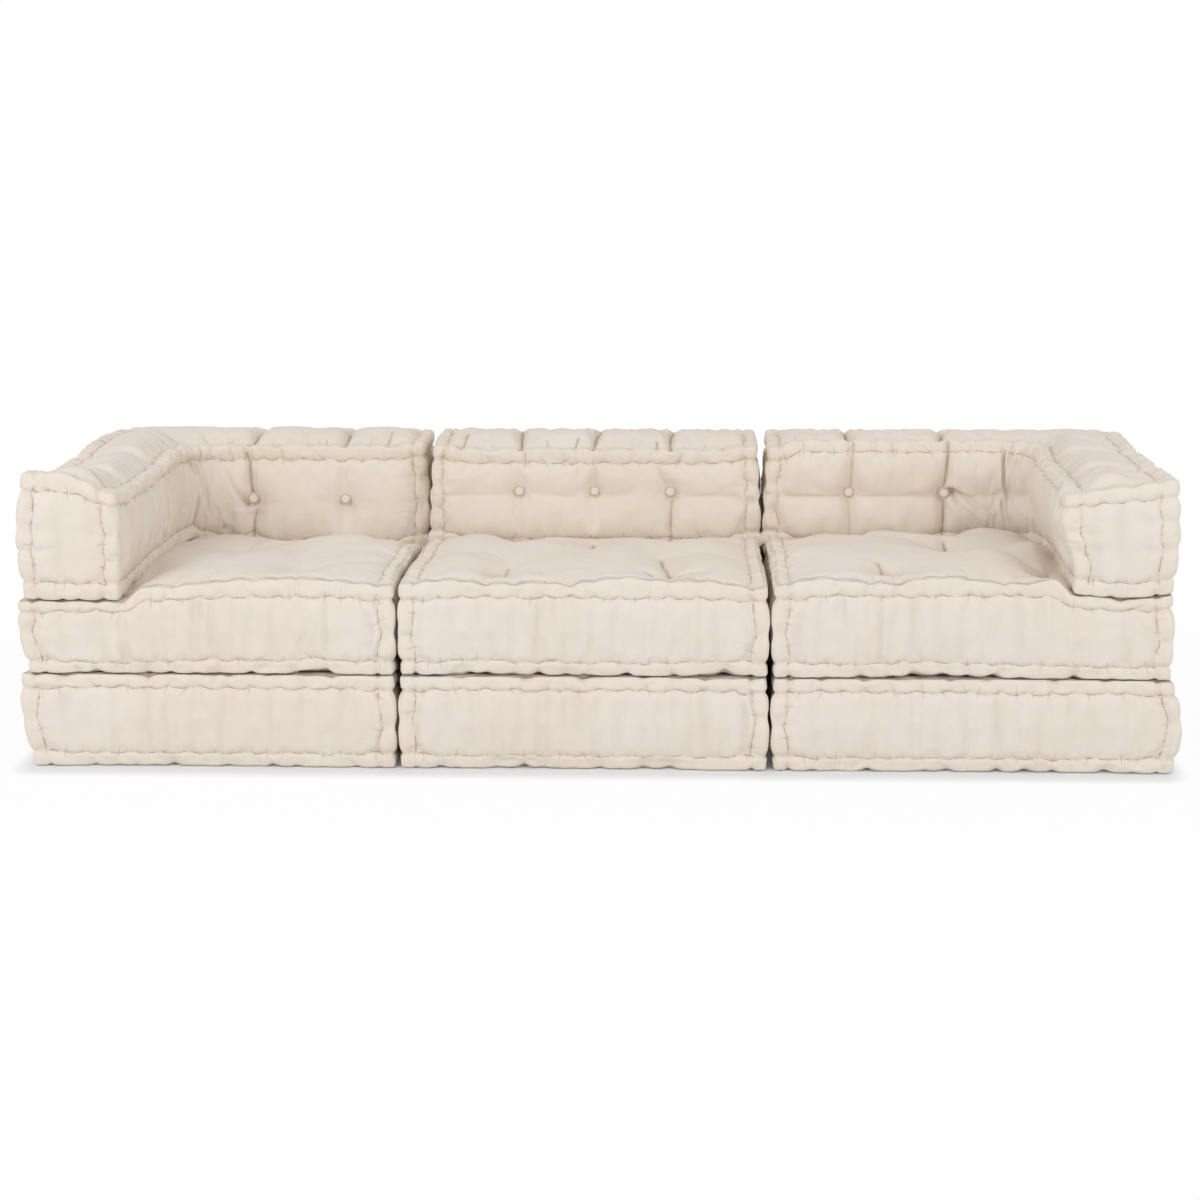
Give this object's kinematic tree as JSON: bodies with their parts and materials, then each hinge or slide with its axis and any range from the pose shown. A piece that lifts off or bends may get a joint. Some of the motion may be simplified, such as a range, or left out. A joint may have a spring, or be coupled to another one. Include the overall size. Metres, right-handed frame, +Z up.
{
  "type": "modular sofa",
  "caption": "Low modular sofa of loose stacked cotton mattress cushions with rolled stitched edges, a straight centre bolster and L-shaped corner bolsters that lift off.",
  "frame": {"origin": "on the floor, under the middle of the sofa's box at rest", "axes": "+Z up, +X to the right along the row of modules, -Y towards the front"},
  "size_m": [2.166, 0.75, 0.5626],
  "materials": {
    "cotton_ticking": "matte",
    "cotton_filling": "matte",
    "linen_twine": "matte",
    "button_cloth": "matte"
  },
  "bodies": {
    "centre_base": {"centre_base_cover": "cotton_ticking", "centre_base_core": "cotton_filling"},
    "centre_seat": {"centre_seat_cover": "cotton_ticking", "centre_seat_core": "cotton_filling", "centre_seat_tufting_tie_1": "linen_twine", "centre_seat_tufting_tie_2": "linen_twine", "centre_seat_tufting_tie_3": "linen_twine", "centre_seat_tufting_tie_4": "linen_twine", "centre_seat_tufting_tie_5": "linen_twine"},
    "centre_back": {"centre_back_cover": "cotton_ticking", "centre_back_core": "cotton_filling", "centre_back_button_1": "button_cloth", "centre_back_button_2": "button_cloth", "centre_back_button_3": "button_cloth", "centre_back_button_tie_1": "linen_twine", "centre_back_button_tie_2": "linen_twine", "centre_back_button_tie_3": "linen_twine", "centre_back_pinch_tie_1": "linen_twine", "centre_back_pinch_tie_2": "linen_twine", "centre_back_pinch_tie_3": "linen_twine"},
    "left_base": {"left_base_cover": "cotton_ticking", "left_base_core": "cotton_filling"},
    "left_seat": {"left_seat_cover": "cotton_ticking", "left_seat_core": "cotton_filling", "left_seat_tufting_tie_1": "linen_twine", "left_seat_tufting_tie_2": "linen_twine", "left_seat_tufting_tie_3": "linen_twine", "left_seat_tufting_tie_4": "linen_twine", "left_seat_tufting_tie_5": "linen_twine"},
    "left_back": {"left_back_cover": "cotton_ticking", "left_back_core": "cotton_filling", "left_back_button_1": "button_cloth", "left_back_button_2": "button_cloth", "left_back_button_tie_1": "linen_twine", "left_back_button_tie_2": "linen_twine", "left_back_side_pinch_tie_1": "linen_twine", "left_back_side_pinch_tie_2": "linen_twine", "left_back_rear_pinch_tie_1": "linen_twine", "left_back_rear_pinch_tie_2": "linen_twine"},
    "right_base": {"right_base_cover": "cotton_ticking", "right_base_core": "cotton_filling"},
    "right_seat": {"right_seat_cover": "cotton_ticking", "right_seat_core": "cotton_filling", "right_seat_tufting_tie_1": "linen_twine", "right_seat_tufting_tie_2": "linen_twine", "right_seat_tufting_tie_3": "linen_twine", "right_seat_tufting_tie_4": "linen_twine", "right_seat_tufting_tie_5": "linen_twine"},
    "right_back": {"right_back_cover": "cotton_ticking", "right_back_core": "cotton_filling", "right_back_button_1": "button_cloth", "right_back_button_2": "button_cloth", "right_back_button_tie_1": "linen_twine", "right_back_button_tie_2": "linen_twine", "right_back_side_pinch_tie_1": "linen_twine", "right_back_side_pinch_tie_2": "linen_twine", "right_back_rear_pinch_tie_1": "linen_twine", "right_back_rear_pinch_tie_2": "linen_twine"}
  },
  "joints": [
    {"name": "left_module_slide", "type": "slide", "parent": "centre_base", "child": "left_base", "axis": [-1, 0, 0], "range_m": [0, 0.4]},
    {"name": "right_module_slide", "type": "slide", "parent": "centre_base", "child": "right_base", "axis": [1, 0, 0], "range_m": [0, 0.4]},
    {"name": "centre_seat_lift", "type": "slide", "parent": "centre_base", "child": "centre_seat", "axis": [0, 0, 1], "range_m": [0, 0.3]},
    {"name": "left_seat_lift", "type": "slide", "parent": "left_base", "child": "left_seat", "axis": [0, 0, 1], "range_m": [0, 0.3]},
    {"name": "right_seat_lift", "type": "slide", "parent": "right_base", "child": "right_seat", "axis": [0, 0, 1], "range_m": [0, 0.3]},
    {"name": "centre_back_lift", "type": "slide", "parent": "centre_seat", "child": "centre_back", "axis": [0, 0, 1], "range_m": [0, 0.3]},
    {"name": "left_back_lift", "type": "slide", "parent": "left_seat", "child": "left_back", "axis": [0, 0, 1], "range_m": [0, 0.3]},
    {"name": "right_back_lift", "type": "slide", "parent": "right_seat", "child": "right_back", "axis": [0, 0, 1], "range_m": [0, 0.3]}
  ]
}
